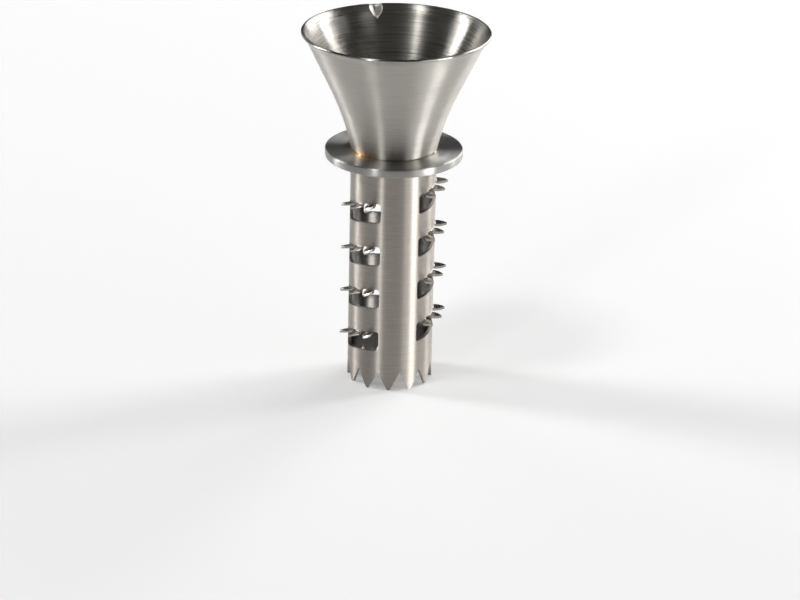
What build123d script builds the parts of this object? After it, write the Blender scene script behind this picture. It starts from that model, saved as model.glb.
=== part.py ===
from build123d import *
import math
import os

# Screw-in citrus press: a toothed tube with a cutting crown, a stop collar and a pouring funnel.
# Millimetres and degrees. The axis is Z, the crown tips stand on Z = 0 and the pouring lip points to +Y.

# Press tube
tube_diameter = 20.0
tube_wall = 0.8
tube_reach = 55.3  # from the collar's underside down to the crown tips

# Windows and teeth, on one right-handed helix
columns = 3
helix_lead = 10.65
first_window_angle = 87.0
first_lip_depth = 3.4  # from the collar's underside down to the teeth of the highest window
window_angle = 66.5
window_height = 3.85  # clear height below the teeth
window_corner_radius = 0.7
window_land = 3.0  # least plain wall between the lowest window and the crown
teeth_per_window = 3
tooth_spacing_angle = 19.5
tooth_reach = 2.75  # tip beyond the tube's outside
tooth_width = 2.0
tooth_thickness = 0.6
tooth_bend_radius = 0.3
tooth_root_length = 1.0  # part of the tooth that stays in the tube's wall

# Cutting crown
crown_teeth = 12
crown_depth = 4.5
crown_tip_flat = 0.6

# Stop collar
collar_diameter = 32.0
collar_thickness = 2.0
collar_edge_radius = 0.35
weld_groove = 0.8  # chamfer in the collar's bore that the weld fills

# Funnel
funnel_height = 28.15  # from the collar's top to the rim
funnel_wall = 0.8
foot_lean = 12.5  # wall's lean from the axis at the foot
cone_half_angle = 25.6
bell_height = 14.5  # height of the curved stretch above the foot
rim_turn_radius = 4.6  # outer face's radius where the wall turns outwards below the rim
rim_lean = 52.0  # wall's lean from the axis at the rim
spigot_length = 4.0
step_height = 2.5  # height of the sloping step from the bell down to the spigot's bore

# Pouring lip
lip_half_width = 1.9
lip_height = 3.0
lip_reach = 1.2  # how far the groove is pressed out of the funnel's inner face
lip_drop = 0.2  # how far the lip lies below the rim
lip_tilt = 18.0

# Welds
tack_count = 3
tack_radius = 0.42
tack_angle = 11.0

# Fits
joint_gap = 0.05  # radial gap of the welded fits
cut_margin = 1.0  # how far a cutting shape runs past what it cuts

# Heights and radii that follow from the sizes above
tube_radius = tube_diameter / 2
bore_radius = tube_radius - tube_wall
collar_bottom = tube_reach
collar_top = collar_bottom + collar_thickness
rim_height = collar_top + funnel_height
helix_slope = math.degrees(math.atan2(helix_lead, 2 * math.pi * tube_radius))
half_width = tube_radius * math.sin(math.radians(window_angle / 2))
end_rise = half_width * math.tan(math.radians(helix_slope))
window_pitch = helix_lead / columns
window_room = tube_reach - first_lip_depth - window_height - end_rise - window_land - crown_depth
window_count = 1 + math.floor(window_room / window_pitch)


# Press tube: stamped steel tube whose upper end stands flush with the collar's top
with BuildPart() as window_punch:
    window_top = tooth_thickness + tooth_bend_radius
    with BuildSketch(Plane.YZ):
        with BuildLine():
            Polyline(
                (-half_width, -window_height - end_rise),
                (half_width, -window_height + end_rise),
                (half_width, window_top + end_rise),
                (-half_width, window_top - end_rise),
                close=True,
            )
        window_face = make_face()
        fillet(window_face.vertices(), window_corner_radius)
    extrude(amount=tube_radius + cut_margin)

with BuildPart() as tooth:
    root_inside = tube_radius - (tube_wall + tooth_thickness) / 2
    root_outside = root_inside + tooth_thickness
    bend_end = root_outside + tooth_bend_radius
    root_top = window_top + tooth_root_length
    tip_radius = tube_radius + tooth_reach
    with BuildSketch(Plane.XZ):
        with BuildLine():
            under_side = Line((tip_radius, 0), (bend_end, 0))
            outer_bend = RadiusArc(under_side @ 1, (root_inside, window_top), window_top)
            inner_face = Line(outer_bend @ 1, (root_inside, root_top))
            root_edge = Line(inner_face @ 1, (root_outside, root_top))
            outer_face = Line(root_edge @ 1, (root_outside, window_top))
            inner_bend = RadiusArc(outer_face @ 1, (bend_end, tooth_thickness), -tooth_bend_radius)
            top_side = Line(inner_bend @ 1, (tip_radius, tooth_thickness))
            Line(top_side @ 1, under_side @ 0)
        make_face()
    extrude(amount=tooth_width / 2, both=True)
    side_radius = ((tip_radius - bend_end) ** 2 + (tooth_width / 2) ** 2) / tooth_width
    with BuildSketch(Plane.XY.offset(-cut_margin)):
        with BuildLine():
            near_side = Line((0, -tooth_width / 2), (bend_end, -tooth_width / 2))
            near_arc = RadiusArc(near_side @ 1, (tip_radius, 0), -side_radius)
            far_arc = RadiusArc(near_arc @ 1, (bend_end, tooth_width / 2), -side_radius)
            far_side = Line(far_arc @ 1, (0, tooth_width / 2))
            Line(far_side @ 1, near_side @ 0)
        make_face()
    extrude(amount=root_top + 2 * cut_margin, mode=Mode.INTERSECT)

window_places = []
tooth_places = []
for step in range(window_count):
    angle = first_window_angle - step * 360 / columns
    height = collar_bottom - first_lip_depth - step * window_pitch
    window_places.append(Location((0, 0, height), (0, 0, angle)))
    for index in range(teeth_per_window):
        turn = (index - (teeth_per_window - 1) / 2) * tooth_spacing_angle
        rise = helix_lead * turn / 360
        upright = Location((0, 0, height + rise), (0, 0, angle + turn))
        tooth_places.append(upright * Location((0, 0, 0), (helix_slope, 0, 0)))

with BuildPart() as crown_notch:
    notch_half_width = tube_radius * math.sin(math.pi / crown_teeth) - crown_tip_flat / 2
    with BuildSketch(Plane.YZ):
        with BuildLine():
            Polyline((-notch_half_width, 0), (notch_half_width, 0), (0, crown_depth), close=True)
        make_face()
    extrude(amount=tube_radius + cut_margin)

with BuildPart() as press_tube:
    with BuildSketch():
        Circle(tube_radius)
        Circle(bore_radius, mode=Mode.SUBTRACT)
    extrude(amount=collar_top)
    with Locations(*window_places):
        add(window_punch.part, mode=Mode.SUBTRACT)
    with PolarLocations(0, crown_teeth):
        add(crown_notch.part, mode=Mode.SUBTRACT)
    with Locations(*tooth_places):
        add(tooth.part)
press_tube.part.label = "press_tube"


# Collar: turned disc with a rounded edge, slipped over the tube and welded to it from below
with BuildPart() as collar:
    with BuildSketch(Plane.XY.offset(collar_bottom)):
        Circle(collar_diameter / 2)
        Circle(tube_radius + joint_gap, mode=Mode.SUBTRACT)
    extrude(amount=collar_thickness)
    bore_edges = collar.edges().filter_by(GeomType.CIRCLE).group_by(SortBy.RADIUS)[0]
    chamfer(bore_edges.sort_by(Axis.Z)[0], weld_groove)
    outer_edges = collar.edges().filter_by(GeomType.CIRCLE).group_by(SortBy.RADIUS)[-1]
    fillet(outer_edges, collar_edge_radius)
collar.part.label = "collar"


# Collar weld: ring of weld metal that fills the groove under the collar, ground flush with it
with BuildPart() as collar_weld:
    groove_radius = tube_radius + joint_gap + weld_groove
    with BuildSketch(Plane.XZ):
        with BuildLine():
            Polyline(
                (tube_radius, collar_bottom),
                (groove_radius, collar_bottom),
                (tube_radius + joint_gap, collar_bottom + weld_groove),
                (tube_radius, collar_bottom + weld_groove),
                close=True,
            )
        make_face()
    revolve(axis=Axis.Z)
collar_weld.part.label = "collar_weld"


# Funnel: turned cone with a curved foot, a turned-out rim and a spigot that stands in the tube's bore
lean = math.radians(foot_lean)
flare = math.radians(cone_half_angle)
bell_radius = bell_height / (math.sin(flare) - math.sin(lean))
bell_centre = Vector(math.cos(lean), -math.sin(lean)) * bell_radius + Vector(tube_radius, collar_top)
inner_radius = bell_radius + funnel_wall
step_lean = math.asin((collar_top + step_height - bell_centre.Y) / inner_radius)
edge_lean = math.radians(rim_lean)
edge_radius = funnel_wall / 2
turn_height = rim_turn_radius * (math.sin(edge_lean) - math.sin(flare))
cone_height = funnel_height - bell_height - turn_height - edge_radius * (1 + math.sin(edge_lean))
wall_inward = Vector(-math.cos(flare), math.sin(flare)) * funnel_wall
edge_inward = Vector(-math.cos(edge_lean), math.sin(edge_lean)) * funnel_wall
spigot_radius = bore_radius - joint_gap
throat_radius = spigot_radius - funnel_wall
spigot_bottom = collar_top - spigot_length
lip_top = rim_height - lip_drop
inner_foot = bell_centre + Vector(-math.cos(flare), math.sin(flare)) * inner_radius
lip_inside = inner_foot.X + (lip_top - inner_foot.Y) * math.tan(flare)

# The pouring lip is a groove pressed outwards: a pyramid of backing metal and a smaller pyramid cut from it
tilt = math.radians(lip_tilt)
lip_origin = (0, math.sqrt(lip_inside**2 - lip_half_width**2), lip_top)
lip_plane = Plane(lip_origin, x_dir=(1, 0, 0), z_dir=(0, math.sin(tilt), math.cos(tilt)))
lip_side = math.atan2(lip_half_width, lip_reach)
backing_half_width = lip_half_width + funnel_wall / math.cos(lip_side)
backing_reach = lip_reach + funnel_wall / math.sin(lip_side)

with BuildSketch(lip_plane) as groove_mouth:
    with BuildLine():
        Polyline((-lip_half_width, 0), (lip_half_width, 0), (0, lip_reach), close=True)
    make_face()

with BuildSketch(lip_plane) as backing_mouth:
    with BuildLine():
        Polyline((-backing_half_width, 0), (backing_half_width, 0), (0, backing_reach), close=True)
    make_face()

groove_end = Vector(0, lip_inside - lip_height * math.tan(flare), lip_top - lip_height)
backing_end = groove_end + Vector(0, 0, -funnel_wall)

with BuildPart() as lip_groove:
    loft(sections=[groove_mouth.sketch, Vertex(*groove_end)])
    extrude(groove_mouth.sketch, amount=funnel_wall + lip_drop)

with BuildPart() as funnel:
    with BuildSketch(Plane.XZ):
        with BuildLine():
            spigot_side = Line((spigot_radius, spigot_bottom), (spigot_radius, collar_top))
            seat = Line(spigot_side @ 1, (tube_radius, collar_top))
            bell_start = (math.sin(lean), math.cos(lean))
            bell = JernArc(seat @ 1, bell_start, bell_radius, foot_lean - cone_half_angle)
            cone = Line(bell @ 1, bell @ 1 + Vector(cone_height * math.tan(flare), cone_height))
            rim_turn = JernArc(cone @ 1, cone % 1, rim_turn_radius, cone_half_angle - rim_lean)
            wall_end = Line(rim_turn @ 1, rim_turn @ 1 + edge_inward)
            inner_turn_radius = rim_turn_radius + funnel_wall
            inner_rim = JernArc(wall_end @ 1, -(rim_turn % 1), inner_turn_radius, rim_lean - cone_half_angle)
            inner_cone = Line(inner_rim @ 1, bell @ 1 + wall_inward)
            inner_turn = cone_half_angle - math.degrees(step_lean)
            inner_bell = JernArc(inner_cone @ 1, inner_cone % 1, inner_radius, inner_turn)
            throat_step = Line(inner_bell @ 1, (throat_radius, collar_top))
            throat = Line(throat_step @ 1, (throat_radius, spigot_bottom))
            Line(throat @ 1, spigot_side @ 0)
        make_face()
        with Locations(rim_turn @ 1 + edge_inward / 2):
            Circle(edge_radius)
    revolve(axis=Axis.Z)
    loft(sections=[backing_mouth.sketch, Vertex(*backing_end)])
    add(lip_groove.part, mode=Mode.SUBTRACT)
funnel.part.label = "funnel"


# Tack welds: short beads in the corner between the funnel's foot and the collar
with BuildPart() as tack_bead:
    with BuildSketch(Plane.XZ):
        with BuildLine():
            bead_floor = Line((tube_radius, collar_top), (tube_radius + tack_radius, collar_top))
            bead_face = RadiusArc(bead_floor @ 1, (tube_radius, collar_top + tack_radius), -tack_radius)
            Line(bead_face @ 1, bead_floor @ 0)
        make_face()
    revolve(axis=Axis.Z, revolution_arc=tack_angle)

with BuildPart() as tack_welds:
    with PolarLocations(0, tack_count, start_angle=first_window_angle - tack_angle / 2):
        add(tack_bead.part)
    add(funnel.part, mode=Mode.SUBTRACT)
tack_welds.part.label = "tack_welds"


os.makedirs("parts", exist_ok=True)
export_step(press_tube.part, "parts/press_tube.step")
export_step(collar.part, "parts/collar.step")
export_step(collar_weld.part, "parts/collar_weld.step")
export_step(funnel.part, "parts/funnel.step")
export_step(tack_welds.part, "parts/tack_welds.step")
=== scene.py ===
import math

import bpy
from mathutils import Matrix, Vector


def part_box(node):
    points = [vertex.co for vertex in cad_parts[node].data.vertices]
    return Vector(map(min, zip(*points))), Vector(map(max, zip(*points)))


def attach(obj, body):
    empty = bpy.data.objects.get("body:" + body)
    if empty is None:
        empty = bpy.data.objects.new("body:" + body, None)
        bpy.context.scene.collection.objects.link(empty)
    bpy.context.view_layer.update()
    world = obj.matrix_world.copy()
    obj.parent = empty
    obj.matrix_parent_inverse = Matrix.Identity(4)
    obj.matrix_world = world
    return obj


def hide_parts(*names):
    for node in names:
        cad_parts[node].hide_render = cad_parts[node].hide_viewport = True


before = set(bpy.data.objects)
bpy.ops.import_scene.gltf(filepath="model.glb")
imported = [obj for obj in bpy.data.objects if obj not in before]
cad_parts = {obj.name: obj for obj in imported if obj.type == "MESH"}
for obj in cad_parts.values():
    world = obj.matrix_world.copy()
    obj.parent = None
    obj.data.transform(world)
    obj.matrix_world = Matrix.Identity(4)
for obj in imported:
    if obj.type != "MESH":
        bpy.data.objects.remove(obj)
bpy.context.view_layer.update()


# Press tube: drawn stainless steel tube with a satin finish, cut to length.
# Windows are punched through its wall along a right-handed helix, in three columns,
# and twelve notches sharpen its lower end into the crown it stands on.
mm = 0.001
tube_radius = 10.0 * mm
tube_wall = 0.8 * mm
tube_sides = 240
tube_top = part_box("press_tube")[1].z
collar_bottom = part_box("collar")[0].z

columns = 3
window_count = 12
helix_lead = 10.65 * mm
first_window_angle = 87.0
first_lip_depth = 3.4 * mm
window_angle = 66.5
window_height = 3.85 * mm
window_corner = 0.7 * mm
window_corner_steps = 5
window_top = 0.9 * mm
window_half_width = tube_radius * math.sin(math.radians(window_angle / 2))
helix_slope = math.atan2(helix_lead, 2 * math.pi * tube_radius)

crown_teeth = 12
crown_depth = 4.5 * mm
crown_tip_flat = 0.6 * mm

cut_length = 6.0 * mm
merge_gap = 0.001 * mm


def clear_selection():
    if bpy.context.mode != "OBJECT":
        bpy.ops.object.mode_set(mode="OBJECT")
    bpy.ops.object.select_all(action="DESELECT")


def select_verts(piece, wanted):
    bpy.ops.object.mode_set(mode="EDIT")
    bpy.ops.mesh.select_mode(type="VERT")
    bpy.ops.mesh.select_all(action="DESELECT")
    bpy.ops.object.mode_set(mode="OBJECT")
    for vertex in piece.data.vertices:
        vertex.select = wanted(vertex.co)
    bpy.ops.object.mode_set(mode="EDIT")


def select_edges(piece, wanted):
    bpy.ops.object.mode_set(mode="EDIT")
    bpy.ops.mesh.select_mode(type="EDGE")
    bpy.ops.mesh.select_all(action="DESELECT")
    bpy.ops.object.mode_set(mode="OBJECT")
    verts = piece.data.vertices
    for edge in piece.data.edges:
        start, end = (verts[index].co for index in edge.vertices)
        edge.select = wanted(start, end)
    bpy.ops.object.mode_set(mode="EDIT")


def settle(piece):
    clear_selection()
    piece.select_set(True)
    bpy.context.view_layer.objects.active = piece
    bpy.ops.object.transform_apply(location=True, rotation=True, scale=True)


def copy_at(piece, place):
    clear_selection()
    piece.select_set(True)
    bpy.context.view_layer.objects.active = piece
    bpy.ops.object.duplicate(linked=False)
    copy = bpy.context.object
    copy.matrix_world = place
    settle(copy)
    return copy


def join(pieces):
    clear_selection()
    for piece in pieces:
        piece.select_set(True)
    bpy.context.view_layer.objects.active = pieces[0]
    bpy.ops.object.join()
    return pieces[0]


def combine(piece, tool, operation):
    clear_selection()
    piece.select_set(True)
    bpy.context.view_layer.objects.active = piece
    boolean = piece.modifiers.new("combine", "BOOLEAN")
    boolean.operation = operation
    boolean.solver = "EXACT"
    boolean.use_self = True
    boolean.object = tool
    bpy.ops.object.modifier_apply(modifier=boolean.name)
    bpy.data.objects.remove(tool, do_unlink=True)


def helix_place(angle, height):
    return Matrix.Translation((0, 0, height)) @ Matrix.Rotation(math.radians(angle), 4, "Z")


clear_selection()
bpy.ops.mesh.primitive_cylinder_add(
    vertices=tube_sides,
    radius=tube_radius,
    depth=tube_top,
    end_fill_type="NOTHING",
    location=(0, 0, tube_top / 2),
)
press_tube = bpy.context.object
press_tube.name = "press_tube_toothed"
settle(press_tube)
wall = press_tube.modifiers.new("wall", "SOLIDIFY")
wall.thickness = tube_wall
wall.offset = -1
wall.use_even_offset = True
bpy.ops.object.modifier_apply(modifier=wall.name)

clear_selection()
window_depth = window_height + window_top
bpy.ops.mesh.primitive_cube_add(size=1, location=(tube_radius, 0, (window_top - window_height) / 2))
window_punch = bpy.context.object
window_punch.scale = (cut_length, 2 * window_half_width, window_depth)
settle(window_punch)
end_rise = window_half_width * math.tan(helix_slope)
for side in (-1, 1):
    select_verts(window_punch, lambda co: co.y * side > 0)
    bpy.ops.transform.translate(value=(0, 0, side * end_rise))
select_edges(window_punch, lambda a, b: abs(a.x - b.x) > cut_length / 2)
bpy.ops.mesh.bevel(offset=window_corner, segments=window_corner_steps, affect="EDGES")
clear_selection()

window_places = []
for step in range(window_count):
    angle = first_window_angle - step * 360 / columns
    height = collar_bottom - first_lip_depth - step * helix_lead / columns
    window_places.append((angle, height))
cutters = [copy_at(window_punch, helix_place(angle, height)) for angle, height in window_places]
bpy.data.objects.remove(window_punch, do_unlink=True)

clear_selection()
bpy.ops.mesh.primitive_cube_add(size=1, location=(tube_radius, 0, 0))
crown_notch = bpy.context.object
notch_half_width = tube_radius * math.sin(math.pi / crown_teeth) - crown_tip_flat / 2
crown_notch.scale = (cut_length, 4 * notch_half_width, 2 * crown_depth)
settle(crown_notch)
select_verts(crown_notch, lambda co: co.z > 0)
bpy.ops.transform.resize(value=(1, 0, 1), center_override=(0, 0, 0))
bpy.ops.mesh.remove_doubles(threshold=merge_gap)
clear_selection()
for index in range(crown_teeth):
    cutters.append(copy_at(crown_notch, helix_place(index * 360 / crown_teeth, 0)))
bpy.data.objects.remove(crown_notch, do_unlink=True)
combine(press_tube, join(cutters), "DIFFERENCE")


# Teeth: three at the upper edge of each window, each a pointed tongue of the tube's own steel,
# bent outwards. The root stays in the wall, a tight bend follows, and the tongue narrows in a pointed arch
# to its tip. All cut edges are then broken slightly, as tumbling leaves them.
teeth_per_window = 3
tooth_spacing = 19.5
tooth_reach = 2.75 * mm
tooth_width = 2.0 * mm
tooth_thickness = 0.6 * mm
tooth_bend = 0.3 * mm
tooth_root = 1.0 * mm
tooth_tip = 0.12 * mm
bend_steps = 5
tongue_steps = 8
broken_edge = 0.07 * mm
broken_edge_steps = 3
sharp_edge = math.radians(35)
smooth_limit = math.radians(28)
wall_touch = 0.005 * mm
wall_facing = 0.6

root_middle = tube_radius - tube_wall / 2
bend_centre = root_middle + tooth_thickness / 2 + tooth_bend
clear_selection()
bpy.ops.mesh.primitive_plane_add(size=1, location=(root_middle, 0, window_top + tooth_root))
tooth = bpy.context.object
tooth.scale = (tooth_thickness, tooth_width, 1)
settle(tooth)
bpy.ops.object.mode_set(mode="EDIT")
bpy.ops.mesh.select_all(action="SELECT")
bpy.ops.mesh.extrude_region_move(TRANSFORM_OT_translate={"value": (0, 0, -tooth_root)})
bpy.ops.mesh.spin(
    steps=bend_steps, angle=math.pi / 2, center=(bend_centre, 0, window_top), axis=(0, 1, 0), dupli=False
)
tongue_length = tube_radius + tooth_reach - bend_centre
arch_radius = (tongue_length**2 + (tooth_width / 2) ** 2) / tooth_width
width_now = tooth_width
for step in range(1, tongue_steps + 1):
    along = tongue_length * step / tongue_steps
    arch = math.sqrt(arch_radius**2 - along**2) - arch_radius + tooth_width / 2
    width_next = max(2 * arch, tooth_tip)
    bpy.ops.mesh.extrude_region_move(TRANSFORM_OT_translate={"value": (tongue_length / tongue_steps, 0, 0)})
    bpy.ops.transform.resize(value=(1, width_next / width_now, 1), center_override=(0, 0, 0))
    width_now = width_next
bpy.ops.mesh.select_all(action="SELECT")
bpy.ops.mesh.remove_doubles(threshold=merge_gap)
bpy.ops.mesh.normals_make_consistent(inside=False)
clear_selection()

teeth = []
for angle, height in window_places:
    for index in range(teeth_per_window):
        turn = (index - (teeth_per_window - 1) / 2) * tooth_spacing
        upright = helix_place(angle + turn, height + helix_lead * turn / 360)
        teeth.append(copy_at(tooth, upright @ Matrix.Rotation(helix_slope, 4, "X")))
bpy.data.objects.remove(tooth, do_unlink=True)
combine(press_tube, join(teeth), "UNION")

clear_selection()
press_tube.select_set(True)
bpy.context.view_layer.objects.active = press_tube
edge_round = press_tube.modifiers.new("edge_round", "BEVEL")
edge_round.width = broken_edge
edge_round.segments = broken_edge_steps
edge_round.limit_method = "ANGLE"
edge_round.angle_limit = sharp_edge
bpy.ops.object.modifier_apply(modifier=edge_round.name)
bpy.ops.object.shade_smooth_by_angle(angle=smooth_limit)
corner_normals = [Vector(corner.vector) for corner in press_tube.data.corner_normals]
for face in press_tube.data.polygons:
    for corner in face.loop_indices:
        spot = press_tube.data.vertices[press_tube.data.loops[corner].vertex_index].co
        outward = Vector((spot.x, spot.y, 0)).normalized()
        for radius, facing in ((tube_radius, outward), (tube_radius - tube_wall, -outward)):
            if abs(spot.xy.length - radius) < wall_touch and face.normal.dot(facing) > wall_facing:
                corner_normals[corner] = facing
press_tube.data.normals_split_custom_set(corner_normals)


# Steel finish: tube, collar and funnel are stainless steel brushed on the lathe. Fine lines run round the
# axis, so light spreads along it and lamps show as upright bars. The tube's steel is satin, and its colour
# is darker, partly its own and partly painted shade for the darker things round it that it reflects. Its
# bore is painted darker still as shade. Deep grooves in the tube's bore and inside the funnel are painted
# darker as shade. The bent teeth have lost their lines and are painted a little darker as shade.
hairlines_per_metre = 7000.0
hairline_drift = 1.8
grooves_per_metre = 1500.0
groove_drift = 1.2
patches_per_metre = 120.0
line_relief = 0.03 * mm


def add_math(nodes, links, operation, first, second):
    step = nodes.new("ShaderNodeMath")
    step.operation = operation
    for socket, value in zip(step.inputs, (first, second)):
        if isinstance(value, (int, float)):
            socket.default_value = value
        else:
            links.new(value, socket)
    return step.outputs[0]


def add_remap(nodes, links, source, from_low, from_high, to_low, to_high):
    span = nodes.new("ShaderNodeMapRange")
    span.interpolation_type = "SMOOTHSTEP"
    links.new(source, span.inputs["Value"])
    span.inputs["From Min"].default_value = from_low
    span.inputs["From Max"].default_value = from_high
    span.inputs["To Min"].default_value = to_low
    span.inputs["To Max"].default_value = to_high
    return span.outputs["Result"]


def add_ring_lines(nodes, links, position, per_metre, drift):
    split = nodes.new("ShaderNodeSeparateXYZ")
    links.new(position, split.inputs[0])
    flat = nodes.new("ShaderNodeVectorMath")
    flat.operation = "MULTIPLY"
    flat.inputs[1].default_value = (1, 1, 0)
    links.new(position, flat.inputs[0])
    radius = nodes.new("ShaderNodeVectorMath")
    radius.operation = "LENGTH"
    links.new(flat.outputs[0], radius.inputs[0])
    outward = nodes.new("ShaderNodeVectorMath")
    outward.operation = "NORMALIZE"
    links.new(flat.outputs[0], outward.inputs[0])
    spread = nodes.new("ShaderNodeVectorMath")
    spread.operation = "SCALE"
    spread.inputs["Scale"].default_value = drift
    links.new(outward.outputs[0], spread.inputs[0])
    along = add_math(nodes, links, "ADD", split.outputs["Z"], radius.outputs["Value"])
    lift = nodes.new("ShaderNodeCombineXYZ")
    links.new(add_math(nodes, links, "MULTIPLY", along, per_metre), lift.inputs["Z"])
    place = nodes.new("ShaderNodeVectorMath")
    place.operation = "ADD"
    links.new(spread.outputs[0], place.inputs[0])
    links.new(lift.outputs[0], place.inputs[1])
    lines = nodes.new("ShaderNodeTexNoise")
    lines.inputs["Scale"].default_value = 1.0
    lines.inputs["Detail"].default_value = 3.0
    lines.inputs["Roughness"].default_value = 0.6
    links.new(place.outputs[0], lines.inputs["Vector"])
    return lines.outputs["Fac"]


def add_mix(nodes, links, share, first, second):
    mix = nodes.new("ShaderNodeMix")
    mix.data_type = "RGBA"
    links.new(share, mix.inputs["Factor"])
    for socket, colour in ((mix.inputs["A"], first), (mix.inputs["B"], second)):
        if isinstance(colour, tuple):
            socket.default_value = colour
        else:
            links.new(colour, socket)
    return mix.outputs["Result"]


def brushed_steel(name, dark, light, roughness, line_depth, groove_depth_and_shade):
    material = bpy.data.materials.new(name)
    material.use_nodes = True
    nodes = material.node_tree.nodes
    links = material.node_tree.links
    steel = nodes["Principled BSDF"]
    steel.inputs["Metallic"].default_value = 1.0
    steel.inputs["Anisotropic"].default_value = 0.95
    steel.inputs["Anisotropic Rotation"].default_value = 0.25
    around = nodes.new("ShaderNodeTangent")
    around.direction_type = "RADIAL"
    around.axis = "Z"
    links.new(around.outputs[0], steel.inputs["Tangent"])
    position = nodes.new("ShaderNodeTexCoord").outputs["Object"]
    hairlines = add_ring_lines(nodes, links, position, hairlines_per_metre, hairline_drift)
    grooves = add_ring_lines(nodes, links, position, grooves_per_metre, groove_drift)
    patches = nodes.new("ShaderNodeTexNoise")
    patches.inputs["Scale"].default_value = patches_per_metre
    patches.inputs["Detail"].default_value = 3.0
    links.new(position, patches.inputs["Vector"])
    fine = add_remap(nodes, links, hairlines, 0.3, 0.7, 0.0, 1.0)
    groove_relief_and_shade = add_remap(nodes, links, grooves, 0.28, 0.52, groove_depth_and_shade, 0.0)
    worn = add_remap(nodes, links, patches.outputs["Fac"], 0.35, 0.65, -0.2, 0.2)
    wear = add_math(nodes, links, "ADD", fine, worn)
    tone = add_mix(nodes, links, wear, dark, light)
    # Where grooves run deep, the colour is painted darker as shade in them, down to about a third of the
    # dark tone.
    shade = tuple(0.35 * channel for channel in dark[:3]) + (1,)
    links.new(add_mix(nodes, links, groove_relief_and_shade, tone, shade), steel.inputs["Base Color"])
    gloss = add_math(nodes, links, "MULTIPLY", wear, 0.1)
    links.new(add_math(nodes, links, "ADD", gloss, roughness), steel.inputs["Roughness"])
    relief = nodes.new("ShaderNodeBump")
    relief.inputs["Strength"].default_value = line_depth
    relief.inputs["Distance"].default_value = line_relief
    links.new(add_math(nodes, links, "SUBTRACT", hairlines, groove_relief_and_shade), relief.inputs["Height"])
    links.new(relief.outputs[0], steel.inputs["Normal"])
    return material


# Tube steel: satin, its darker colour partly the steel's own and partly painted shade for the darker
# surroundings it reflects.
tube_satin_shaded_steel = brushed_steel(
    "tube_satin_shaded_steel",
    dark=(0.33, 0.301, 0.27, 1),
    light=(0.41, 0.378, 0.343, 1),
    roughness=0.36,
    line_depth=0.12,
    groove_depth_and_shade=0.0,
)
# Bore steel: a darker copy of the tube's steel, its darkness painted shade inside the tube.
tube_bore_shaded_steel = brushed_steel(
    "tube_bore_shaded_steel",
    dark=(0.20, 0.19, 0.175, 1),
    light=(0.28, 0.265, 0.245, 1),
    roughness=0.36,
    line_depth=0.2,
    groove_depth_and_shade=0.3,
)
# Teeth steel: no brushing lines, and a colour a little darker than the tube's, painted shade for the teeth's
# shaded undersides.
tooth_shaded_steel = brushed_steel(
    "tooth_shaded_steel",
    dark=(0.30, 0.285, 0.265, 1),
    light=(0.38, 0.36, 0.335, 1),
    roughness=0.22,
    line_depth=0.05,
    groove_depth_and_shade=0.0,
)
tooth_shaded_steel.node_tree.nodes["Principled BSDF"].inputs["Anisotropic"].default_value = 0.0
tooth_start = tube_radius + 0.02 * mm
bore_start = tube_radius - 0.9 * tube_wall
press_tube.data.materials.clear()
for material in (tube_satin_shaded_steel, tube_bore_shaded_steel, tooth_shaded_steel):
    press_tube.data.materials.append(material)
# Faces on the bore take the darker copy painted as shade; faces on the teeth take the teeth's steel, painted
# a little darker as shade.
for face in press_tube.data.polygons:
    if face.center.xy.length > tooth_start:
        face.material_index = 2
    elif face.center.xy.length < bore_start and face.normal.xy.dot(face.center.xy) < 0:
        face.material_index = 1
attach(press_tube, "root")
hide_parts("press_tube")


# Stop collar: disc turned from steel bar with a rounded edge, slipped over the tube and welded from below.
# A small groove in the lower edge of its bore takes the weld. The welding heat has tinted its top
# straw and bronze beside each weld.
collar_low, collar_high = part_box("collar")
collar_radius = collar_high.x
collar_top = collar_high.z
collar_edge = 0.35 * mm
collar_edge_steps = 8
joint_gap = 0.05 * mm
collar_bore = tube_radius + joint_gap
weld_groove = 0.8 * mm
ring_sides = 360
level_gap = 0.01 * mm
collar_smooth_limit = math.radians(25)

straw_tint = (0.72, 0.54, 0.36, 1)
bronze_tint = (0.44, 0.33, 0.25, 1)
tint_ragged = 0.8 * mm
tint_spots_per_metre = 700.0
tack_places = ((207, 1.0), (327, 0.05), (87, 0.6))


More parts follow.
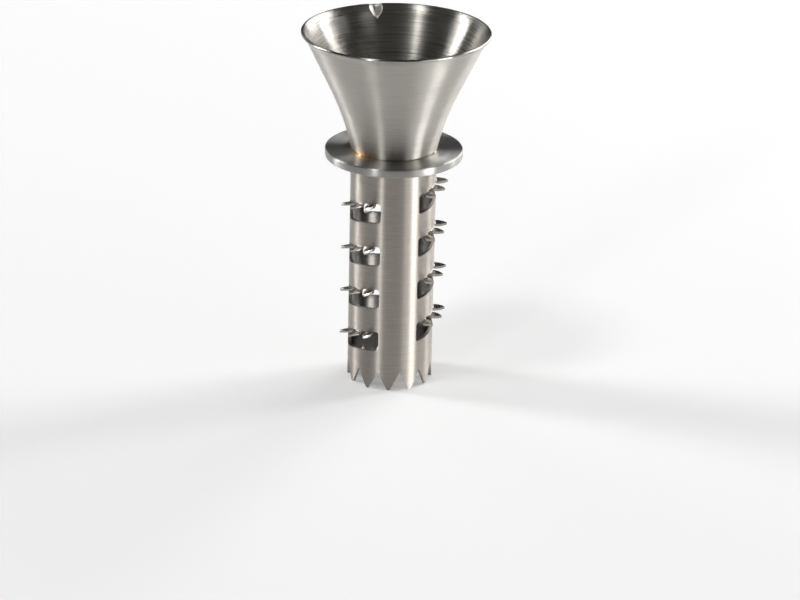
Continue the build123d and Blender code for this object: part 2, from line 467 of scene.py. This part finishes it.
def heat_tint(material, seam_radius, seam_height, places):
    nodes = material.node_tree.nodes
    links = material.node_tree.links
    steel = nodes["Principled BSDF"]
    plain = steel.inputs["Base Color"].links[0].from_socket
    position = nodes.new("ShaderNodeTexCoord").outputs["Object"]
    flat = nodes.new("ShaderNodeVectorMath")
    flat.operation = "MULTIPLY"
    flat.inputs[1].default_value = (1, 1, 0)
    links.new(position, flat.inputs[0])
    radius = nodes.new("ShaderNodeVectorMath")
    radius.operation = "LENGTH"
    links.new(flat.outputs[0], radius.inputs[0])
    split = nodes.new("ShaderNodeSeparateXYZ")
    links.new(position, split.inputs[0])
    across = add_math(nodes, links, "SUBTRACT", radius.outputs["Value"], seam_radius)
    above = add_math(nodes, links, "SUBTRACT", split.outputs["Z"], seam_height)
    squared = add_math(
        nodes,
        links,
        "ADD",
        add_math(nodes, links, "MULTIPLY", across, across),
        add_math(nodes, links, "MULTIPLY", above, above),
    )
    from_seam = add_math(nodes, links, "SQRT", squared, 0)
    mottle = nodes.new("ShaderNodeTexNoise")
    mottle.inputs["Scale"].default_value = tint_spots_per_metre
    links.new(position, mottle.inputs["Vector"])
    ragged = add_math(nodes, links, "MULTIPLY", mottle.outputs["Fac"], tint_ragged)
    from_joint = add_math(nodes, links, "ADD", from_seam, ragged)
    hot_zone = add_remap(nodes, links, from_joint, 0.3 * mm, 2.2 * mm, 0.95, 0.0)
    warm_zone = add_remap(nodes, links, from_joint, 0.8 * mm, 3.8 * mm, 0.75, 0.0)
    for angle, strength in places:
        turn = math.radians(angle)
        reach = nodes.new("ShaderNodeVectorMath")
        reach.operation = "DISTANCE"
        weld_x, weld_y = seam_radius * math.cos(turn), seam_radius * math.sin(turn)
        reach.inputs[1].default_value = (weld_x, weld_y, seam_height)
        links.new(position, reach.inputs[0])
        near_weld = add_remap(nodes, links, reach.outputs["Value"], 1.0 * mm, 6.5 * mm, strength, 0.0)
        warm = add_math(nodes, links, "MULTIPLY", warm_zone, near_weld)
        hot = add_math(nodes, links, "MULTIPLY", hot_zone, near_weld)
        bronze = add_mix(nodes, links, warm, plain, bronze_tint)
        plain = add_mix(nodes, links, hot, bronze, straw_tint)
    links.new(plain, steel.inputs["Base Color"])


def on_outer_edge(start, end):
    outside = min(start.xy.length, end.xy.length) > collar_radius - level_gap
    return outside and abs(start.z - end.z) < level_gap


def on_lower_bore_edge(start, end):
    in_bore = max(start.xy.length, end.xy.length) < collar_bore + level_gap
    return in_bore and max(start.z, end.z) < collar_bottom + level_gap


clear_selection()
bpy.ops.mesh.primitive_cylinder_add(
    vertices=ring_sides,
    radius=collar_radius,
    depth=collar_top - collar_bottom,
    end_fill_type="NGON",
    location=(0, 0, (collar_top + collar_bottom) / 2),
)
collar = bpy.context.object
collar.name = "collar_turned"
settle(collar)
bpy.ops.object.mode_set(mode="EDIT")
bpy.ops.mesh.select_mode(type="FACE")
bpy.ops.mesh.select_all(action="DESELECT")
bpy.ops.object.mode_set(mode="OBJECT")
for face in collar.data.polygons:
    face.select = abs(face.normal.z) > 0.5
bpy.ops.object.mode_set(mode="EDIT")
bpy.ops.mesh.inset(thickness=collar_radius - collar_bore, use_individual=True)
bpy.ops.mesh.bridge_edge_loops()
select_edges(collar, on_outer_edge)
bpy.ops.mesh.bevel(offset=collar_edge, segments=collar_edge_steps, affect="EDGES")
select_edges(collar, on_lower_bore_edge)
bpy.ops.mesh.bevel(offset=weld_groove, segments=1, affect="EDGES")
clear_selection()
collar.select_set(True)
bpy.context.view_layer.objects.active = collar
bpy.ops.object.shade_smooth_by_angle(angle=collar_smooth_limit)
collar_steel = brushed_steel(
    "collar_steel",
    dark=(0.31, 0.302, 0.285, 1),
    light=(0.385, 0.375, 0.355, 1),
    roughness=0.33,
    line_depth=0.12,
    groove_depth_and_shade=0.0,
)
heat_tint(collar_steel, tube_radius, collar_top, tack_places)
collar.data.materials.clear()
collar.data.materials.append(collar_steel)
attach(collar, "root")
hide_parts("collar")


# Funnel: turned from steel, with a curved foot, a straight cone and a rim that turns outwards to a round
# edge. Its spigot stands in the tube's bore. A small pouring lip is pressed out of the wall at the back
# of the rim.
rim_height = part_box("funnel")[1].z
spigot_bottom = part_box("funnel")[0].z
funnel_wall = 0.8 * mm
foot_lean = math.radians(12.5)
flare = math.radians(25.6)
edge_lean = math.radians(52.0)
bell_height = 14.5 * mm
rim_turn_radius = 4.6 * mm
edge_radius = funnel_wall / 2
rim_polish_and_shade_radius = 1.05 * edge_radius
step_height = 2.5 * mm
foot_break = 0.28 * mm
spigot_radius = tube_radius - tube_wall - joint_gap
throat_radius = spigot_radius - funnel_wall
funnel_sides = 720
bell_steps = 14
cone_steps = 16
turn_steps = 8
edge_steps = 12
ring_merge_gap = 0.002 * mm
funnel_smooth_limit = math.radians(30)


def blend_value(start, end, share):
    return start + (end - start) * share


def arc_ring(centre, radius, lean):
    return centre[0] - radius * math.cos(lean), centre[1] + radius * math.sin(lean)


bell_radius = bell_height / (math.sin(flare) - math.sin(foot_lean))
bell_centre = (
    tube_radius + bell_radius * math.cos(foot_lean),
    collar_top - bell_radius * math.sin(foot_lean),
)
cone_foot = arc_ring(bell_centre, bell_radius, flare)
inner_foot = arc_ring(bell_centre, bell_radius + funnel_wall, flare)
turn_rise = rim_turn_radius * (math.sin(edge_lean) - math.sin(flare))
cone_rise = rim_height - cone_foot[1] - turn_rise - edge_radius * (1 + math.sin(edge_lean))
cone_run = cone_rise * math.tan(flare)
turn_centre = (
    cone_foot[0] + cone_run + rim_turn_radius * math.cos(flare),
    cone_foot[1] + cone_rise - rim_turn_radius * math.sin(flare),
)
edge_centre = arc_ring(turn_centre, rim_turn_radius + edge_radius, edge_lean)
step_lean = math.asin((collar_top + step_height - bell_centre[1]) / (bell_radius + funnel_wall))

rings = [(spigot_radius, collar_top), (tube_radius - foot_break, collar_top)]
rings.append((tube_radius + foot_break * math.tan(foot_lean), collar_top + foot_break))
for step in range(1, bell_steps + 1):
    rings.append(arc_ring(bell_centre, bell_radius, blend_value(foot_lean, flare, step / bell_steps)))
for step in range(1, cone_steps):
    share = 1 - (1 - step / cone_steps) ** 2
    rings.append((cone_foot[0] + cone_run * share, cone_foot[1] + cone_rise * share))
for step in range(turn_steps + 1):
    rings.append(arc_ring(turn_centre, rim_turn_radius, blend_value(flare, edge_lean, step / turn_steps)))
for step in range(1, edge_steps):
    rings.append(arc_ring(edge_centre, -edge_radius, edge_lean - math.pi * step / edge_steps))
for step in range(turn_steps + 1):
    lean = blend_value(edge_lean, flare, step / turn_steps)
    rings.append(arc_ring(turn_centre, rim_turn_radius + funnel_wall, lean))
for step in range(1, cone_steps + 1):
    share = 1 - (step / cone_steps) ** 2
    rings.append((inner_foot[0] + cone_run * share, inner_foot[1] + cone_rise * share))
for step in range(1, bell_steps + 1):
    lean = blend_value(flare, step_lean, step / bell_steps)
    rings.append(arc_ring(bell_centre, bell_radius + funnel_wall, lean))
rings.append((throat_radius, collar_top))
rings.append((throat_radius, spigot_bottom))
rings.append((spigot_radius, spigot_bottom))

clear_selection()
bpy.ops.mesh.primitive_circle_add(
    vertices=funnel_sides, radius=spigot_radius, fill_type="NOTHING", location=(0, 0, spigot_bottom)
)
funnel = bpy.context.object
funnel.name = "funnel_turned"
settle(funnel)
bpy.ops.object.mode_set(mode="EDIT")
bpy.ops.mesh.select_all(action="SELECT")
radius_now, height_now = spigot_radius, spigot_bottom
for radius, height in rings:
    bpy.ops.mesh.extrude_region_move(TRANSFORM_OT_translate={"value": (0, 0, height - height_now)})
    scale = radius / radius_now
    bpy.ops.transform.resize(value=(scale, scale, 1), center_override=(0, 0, height))
    radius_now, height_now = radius, height
bpy.ops.mesh.select_all(action="SELECT")
bpy.ops.mesh.remove_doubles(threshold=ring_merge_gap)
bpy.ops.mesh.normals_make_consistent(inside=False)
clear_selection()

turned_steel = brushed_steel(
    "turned_steel",
    dark=(0.40, 0.38, 0.35, 1),
    light=(0.48, 0.46, 0.425, 1),
    roughness=0.35,
    line_depth=0.12,
    groove_depth_and_shade=0.0,
)
heat_tint(turned_steel, tube_radius, collar_top, tack_places)
# Inside steel: deep grooves inside the funnel are painted darker as shade.
inside_steel = brushed_steel(
    "funnel_inside_steel",
    dark=(0.36, 0.34, 0.31, 1),
    light=(0.50, 0.48, 0.445, 1),
    roughness=0.27,
    line_depth=0.3,
    groove_depth_and_shade=0.5,
)
# Rim steel: polished smoother, and painted darker as shade for the dark line along the rim's round edge.
rim_shaded_steel = brushed_steel(
    "rim_polished_shaded_steel",
    dark=(0.31, 0.30, 0.28, 1),
    light=(0.37, 0.36, 0.34, 1),
    roughness=0.22,
    line_depth=0.05,
    groove_depth_and_shade=0.0,
)
funnel.data.materials.clear()
for material in (turned_steel, inside_steel, rim_shaded_steel):
    funnel.data.materials.append(material)
# Faces round the rim's round edge take the polished steel painted darker as shade; faces turned inwards take
# the inside steel.
for face in funnel.data.polygons:
    inwards = face.normal.x * face.center.x + face.normal.y * face.center.y < 0
    from_edge = math.hypot(face.center.xy.length - edge_centre[0], face.center.z - edge_centre[1])
    if from_edge < rim_polish_and_shade_radius:
        face.material_index = 2
    elif inwards:
        face.material_index = 1

lip_half_width = 2.3 * mm
lip_height = 3.0 * mm
lip_reach = 1.58 * mm
lip_drop = 0.25 * mm
lip_fade = 0.6 * mm
lip_held_share = 0.5
lip_bottom = rim_height - lip_drop - lip_height
inner_turn_radius = rim_turn_radius + funnel_wall
for vertex in funnel.data.vertices:
    x, y, z = vertex.co
    if y > 0 and z > lip_bottom and abs(x) < lip_half_width:
        share = min(1.0, (z - lip_bottom) / lip_height)
        turned_out = 0.0
        if z > inner_foot[1] + cone_rise:
            inside = turn_centre[0] - math.sqrt(inner_turn_radius**2 - (z - turn_centre[1]) ** 2)
            turned_out = inside - inner_foot[0] - (z - inner_foot[1]) * math.tan(flare)
        groove = lip_reach * (share - abs(x) / lip_half_width) - turned_out
        held_back = lip_held_share * max(0.0, 1 - (rim_height - z) / lip_fade)
        vertex.co.y += (1 - held_back) * max(0.0, groove)
        across = 1 - abs(x) / lip_half_width
        vertex.co.z -= lip_drop * share * (0.5 - 0.5 * math.cos(math.pi * across))
clear_selection()
funnel.select_set(True)
bpy.context.view_layer.objects.active = funnel
bpy.ops.object.shade_smooth_by_angle(angle=funnel_smooth_limit)
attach(funnel, "root")
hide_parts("funnel")


# Welds: a ring of weld metal in the groove under the collar, ground flush, and three short rippled beads in
# the corner between the funnel's foot and the collar. The heat left them straw and bronze.
bead_section = 0.32 * mm
bead_sides = 16
bead_middle = Vector((tube_radius + 0.05 * mm, 0, collar_top + 0.02 * mm))
bead_sweep = 11.0
bead_rings = 12
bead_end_share = 0.06
ripple_share = 0.86
bead_smooth_limit = math.radians(60)
weld_spots_per_metre = 2600.0
weld_relief_height = 0.05 * mm

weld_metal = bpy.data.materials.new("heat_tinted_weld")
weld_metal.use_nodes = True
weld_nodes = weld_metal.node_tree.nodes
weld_links = weld_metal.node_tree.links
weld_shader = weld_nodes["Principled BSDF"]
weld_shader.inputs["Metallic"].default_value = 1.0
weld_position = weld_nodes.new("ShaderNodeTexCoord").outputs["Object"]
weld_grain = weld_nodes.new("ShaderNodeTexNoise")
weld_grain.inputs["Scale"].default_value = weld_spots_per_metre
weld_grain.inputs["Detail"].default_value = 4.0
weld_links.new(weld_position, weld_grain.inputs["Vector"])
weld_colour = add_mix(
    weld_nodes, weld_links, weld_grain.outputs["Fac"], (0.30, 0.28, 0.25, 1), (0.46, 0.43, 0.39, 1)
)
weld_links.new(weld_colour, weld_shader.inputs["Base Color"])
heat_tint(weld_metal, tube_radius, collar_top, tack_places)
weld_rough = add_remap(weld_nodes, weld_links, weld_grain.outputs["Fac"], 0.3, 0.7, 0.3, 0.5)
weld_links.new(weld_rough, weld_shader.inputs["Roughness"])
weld_relief = weld_nodes.new("ShaderNodeBump")
weld_relief.inputs["Strength"].default_value = 0.4
weld_relief.inputs["Distance"].default_value = weld_relief_height
weld_links.new(weld_grain.outputs["Fac"], weld_relief.inputs["Height"])
weld_links.new(weld_relief.outputs[0], weld_shader.inputs["Normal"])
for material_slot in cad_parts["collar_weld"].material_slots:
    material_slot.material = weld_metal

tack_beads = []
for angle, _ in tack_places:
    clear_selection()
    bpy.ops.mesh.primitive_circle_add(
        vertices=bead_sides,
        radius=bead_section,
        fill_type="NGON",
        location=bead_middle,
        rotation=(math.pi / 2, 0, 0),
    )
    bead = bpy.context.object
    settle(bead)
    bpy.ops.object.mode_set(mode="EDIT")
    bpy.ops.mesh.select_all(action="SELECT")
    size_now = 1.0
    for ring in range(bead_rings + 1):
        end_taper = math.sqrt(max(bead_end_share, 1 - (2 * ring / bead_rings - 1) ** 2))
        size = end_taper * (1.0 if ring % 2 else ripple_share)
        swept = math.radians(bead_sweep * ring / bead_rings)
        centre = Matrix.Rotation(swept, 4, "Z") @ bead_middle
        if ring:
            bead_step = math.radians(bead_sweep / bead_rings)
            bpy.ops.mesh.spin(steps=1, angle=bead_step, center=(0, 0, 0), axis=(0, 0, -1), dupli=False)
        bpy.ops.transform.resize(value=(size / size_now,) * 3, center_override=centre)
        size_now = size
    bpy.ops.mesh.select_all(action="SELECT")
    bpy.ops.mesh.normals_make_consistent(inside=False)
    clear_selection()
    bead.matrix_world = Matrix.Rotation(math.radians(angle - bead_sweep / 2), 4, "Z")
    settle(bead)
    tack_beads.append(bead)
tacks = join(tack_beads)
tacks.name = "tack_beads"
bpy.ops.object.shade_smooth_by_angle(angle=bead_smooth_limit)
tacks.data.materials.clear()
tacks.data.materials.append(weld_metal)
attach(tacks, "root")
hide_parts("tack_welds")


# Floor and light: a pale floor that glows a little, and softboxes round the press. Each one round the sides
# shows as an upright bar on the brushed steel. The right one stands low, so that the funnel's rim keeps it
# out of the funnel, and the high one brightens the inside of the funnel and the collar.
floor_glow = 0.21
floor_size = 8.0
floor_paint = bpy.data.materials.new("pale_floor")
floor_paint.use_nodes = True
floor_nodes = floor_paint.node_tree.nodes
floor_links = floor_paint.node_tree.links
floor_shader = floor_nodes["Principled BSDF"]
floor_shader.inputs["Base Color"].default_value = (0.9, 0.9, 0.9, 1)
floor_shader.inputs["Roughness"].default_value = 0.9
floor_shader.inputs["Specular IOR Level"].default_value = 0.0
floor_shader.inputs["Emission Color"].default_value = (1, 1, 1, 1)
seen_by = floor_nodes.new("ShaderNodeLightPath")
seen = floor_nodes.new("ShaderNodeMath")
seen.operation = "ADD"
floor_links.new(seen_by.outputs["Is Camera Ray"], seen.inputs[0])
floor_links.new(seen_by.outputs["Is Glossy Ray"], seen.inputs[1])
seen_all = floor_nodes.new("ShaderNodeMath")
seen_all.operation = "ADD"
seen_all.use_clamp = True
floor_links.new(seen.outputs[0], seen_all.inputs[0])
floor_links.new(seen_by.outputs["Is Transmission Ray"], seen_all.inputs[1])
glow = floor_nodes.new("ShaderNodeMath")
glow.operation = "MULTIPLY"
glow.inputs[1].default_value = floor_glow
floor_links.new(seen_all.outputs[0], glow.inputs[0])
floor_links.new(glow.outputs[0], floor_shader.inputs["Emission Strength"])
clear_selection()
bpy.ops.mesh.primitive_plane_add(size=floor_size)
floor = bpy.context.object
floor.name = "floor"
floor.data.materials.append(floor_paint)

view_azimuth = -14.1
lamp_target = Vector((0, 0, 0.06))


def softbox(name, azimuth, height, distance, wide, tall, power):
    turn = math.radians(view_azimuth + azimuth)
    bpy.ops.object.light_add(type="AREA")
    lamp = bpy.context.object
    lamp.name = name
    lamp.data.shape = "RECTANGLE"
    lamp.data.size = wide
    lamp.data.size_y = tall
    lamp.data.energy = power
    lamp.location = (distance * math.sin(turn), -distance * math.cos(turn), height)
    aim = lamp_target - lamp.location
    lamp.rotation_euler = aim.to_track_quat("-Z", "Y").to_euler()


softbox("softbox_right", azimuth=59.5, height=0.046, distance=1.2, wide=0.36, tall=0.08, power=8.2)
softbox("softbox_right_front", azimuth=40, height=0.15, distance=1.2, wide=0.34, tall=0.28, power=1.7)
softbox("softbox_right_fill", azimuth=84, height=0.18, distance=1.2, wide=0.45, tall=0.34, power=1.0)
softbox("softbox_front_left", azimuth=-30, height=0.25, distance=1.2, wide=0.13, tall=0.5, power=2.8)
softbox("softbox_left", azimuth=-106, height=0.50, distance=1.2, wide=0.24, tall=1.0, power=8.4)
softbox("softbox_right_rear", azimuth=116, height=0.48, distance=1.1, wide=0.30, tall=0.95, power=6.8)
softbox("softbox_rear", azimuth=143, height=0.48, distance=1.1, wide=0.52, tall=0.95, power=6.0)
softbox("softbox_left_rear", azimuth=-145, height=0.48, distance=1.1, wide=0.40, tall=0.95, power=0.8)
softbox("softbox_high", azimuth=-50, height=2.0, distance=0.93, wide=0.26, tall=0.5, power=7.2)

world = bpy.data.worlds.new("studio")
bpy.context.scene.world = world
world.use_nodes = True
world.node_tree.nodes["Background"].inputs["Color"].default_value = (0.5, 0.5, 0.5, 1)
world.node_tree.nodes["Background"].inputs["Strength"].default_value = 0.15

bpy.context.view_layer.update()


# Camera: a long lens that looks down on the rim from the front, a little to the left of the axis,
# and is rolled by about a degree.
view_elevation = 22.255
view_distance = 777.0 * mm
view_target = Vector((0, 0, 18.96 * mm))
view_side = 2.18 * mm
view_roll = 1.26
view_lens = 147.97
bpy.ops.object.camera_add()
camera = bpy.context.object
camera.data.sensor_width = 36.0
camera.data.lens = view_lens
camera.data.clip_start = 0.01
turn = math.radians(view_azimuth)
rise = math.radians(view_elevation)
towards = Vector((math.sin(turn) * math.cos(rise), -math.cos(turn) * math.cos(rise), math.sin(rise)))
aside = Vector((math.cos(turn), math.sin(turn), 0))
looking = Matrix.Rotation(turn, 4, "Z") @ Matrix.Rotation(math.pi / 2 - rise, 4, "X")
camera.matrix_world = (
    Matrix.Translation(view_target + aside * view_side + towards * view_distance)
    @ looking
    @ Matrix.Rotation(math.radians(view_roll), 4, "Z")
)
bpy.context.scene.camera = camera
bpy.context.scene.view_settings.view_transform = "Standard"
